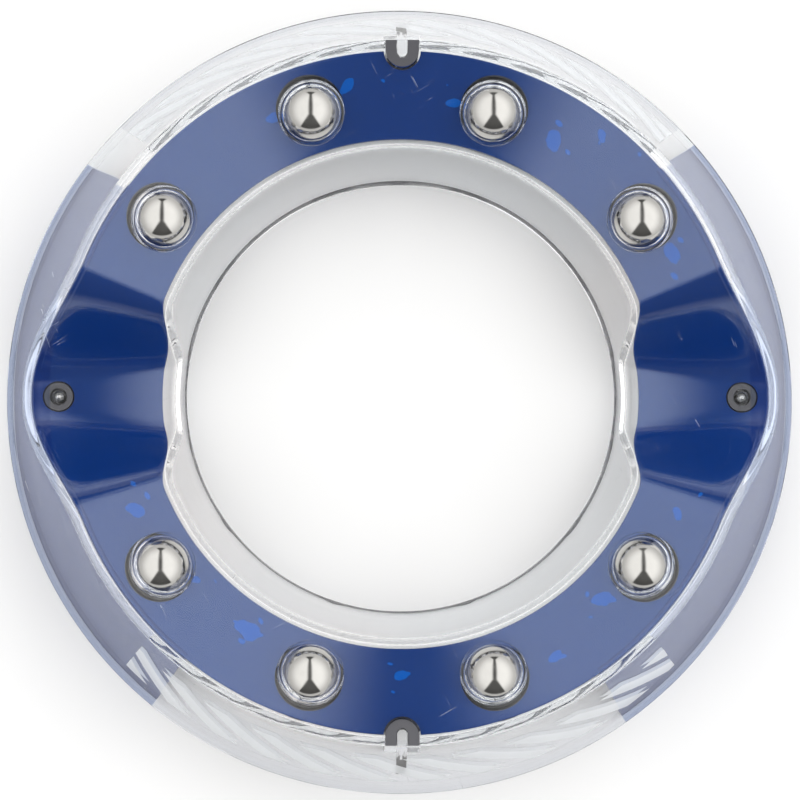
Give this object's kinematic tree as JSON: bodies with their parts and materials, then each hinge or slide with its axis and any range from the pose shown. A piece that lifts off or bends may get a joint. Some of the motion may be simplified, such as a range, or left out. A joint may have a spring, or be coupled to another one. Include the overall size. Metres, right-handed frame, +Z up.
{
  "type": "bowling ball rest ring",
  "caption": "Clear moulded ring with a coloured liner, captive steel balls and finger scoops, on which a bowling ball rests and spins.",
  "frame": {"origin": "centre of the ring, on the plane that it stands on", "axes": "+Z up along the ring's axis; the two finger scoops are on +X and -X"},
  "size_m": [0.19, 0.19, 0.0336],
  "materials": {
    "clear_plastic": "clear polished",
    "blue_plastic": "glossy",
    "grey_plastic": "moulded",
    "seat_plastic": "slick moulded",
    "steel": "polished",
    "screw_steel": "zinc plated"
  },
  "bodies": {
    "ring": {"clear_cover": "clear_plastic", "blue_liner": "blue_plastic", "base_ring": "grey_plastic", "ball_seat_1": "seat_plastic", "ball_seat_2": "seat_plastic", "ball_seat_3": "seat_plastic", "ball_seat_4": "seat_plastic", "ball_seat_5": "seat_plastic", "ball_seat_6": "seat_plastic", "ball_seat_7": "seat_plastic", "ball_seat_8": "seat_plastic", "screw_right": "screw_steel", "screw_left": "screw_steel"},
    "ball_1": {"steel_ball_1": "steel"},
    "ball_2": {"steel_ball_2": "steel"},
    "ball_3": {"steel_ball_3": "steel"},
    "ball_4": {"steel_ball_4": "steel"},
    "ball_5": {"steel_ball_5": "steel"},
    "ball_6": {"steel_ball_6": "steel"},
    "ball_7": {"steel_ball_7": "steel"},
    "ball_8": {"steel_ball_8": "steel"}
  },
  "joints": [
    {"name": "ball_1_roll", "type": "hinge", "parent": "ring", "child": "ball_1", "pos_m": [0.05663, 0.04115, 0.0265], "axis": [0.644, 0.4679, 0.6053], "continuous": true},
    {"name": "ball_2_roll", "type": "hinge", "parent": "ring", "child": "ball_2", "pos_m": [0.02163, 0.06657, 0.0265], "axis": [0.246, 0.757, 0.6053], "continuous": true},
    {"name": "ball_3_roll", "type": "hinge", "parent": "ring", "child": "ball_3", "pos_m": [-0.02163, 0.06657, 0.0265], "axis": [-0.246, 0.757, 0.6053], "continuous": true},
    {"name": "ball_4_roll", "type": "hinge", "parent": "ring", "child": "ball_4", "pos_m": [-0.05663, 0.04115, 0.0265], "axis": [-0.644, 0.4679, 0.6053], "continuous": true},
    {"name": "ball_5_roll", "type": "hinge", "parent": "ring", "child": "ball_5", "pos_m": [-0.05663, -0.04115, 0.0265], "axis": [-0.644, -0.4679, 0.6053], "continuous": true},
    {"name": "ball_6_roll", "type": "hinge", "parent": "ring", "child": "ball_6", "pos_m": [-0.02163, -0.06657, 0.0265], "axis": [-0.246, -0.757, 0.6053], "continuous": true},
    {"name": "ball_7_roll", "type": "hinge", "parent": "ring", "child": "ball_7", "pos_m": [0.02163, -0.06657, 0.0265], "axis": [0.246, -0.757, 0.6053], "continuous": true},
    {"name": "ball_8_roll", "type": "hinge", "parent": "ring", "child": "ball_8", "pos_m": [0.05663, -0.04115, 0.0265], "axis": [0.644, -0.4679, 0.6053], "continuous": true}
  ]
}
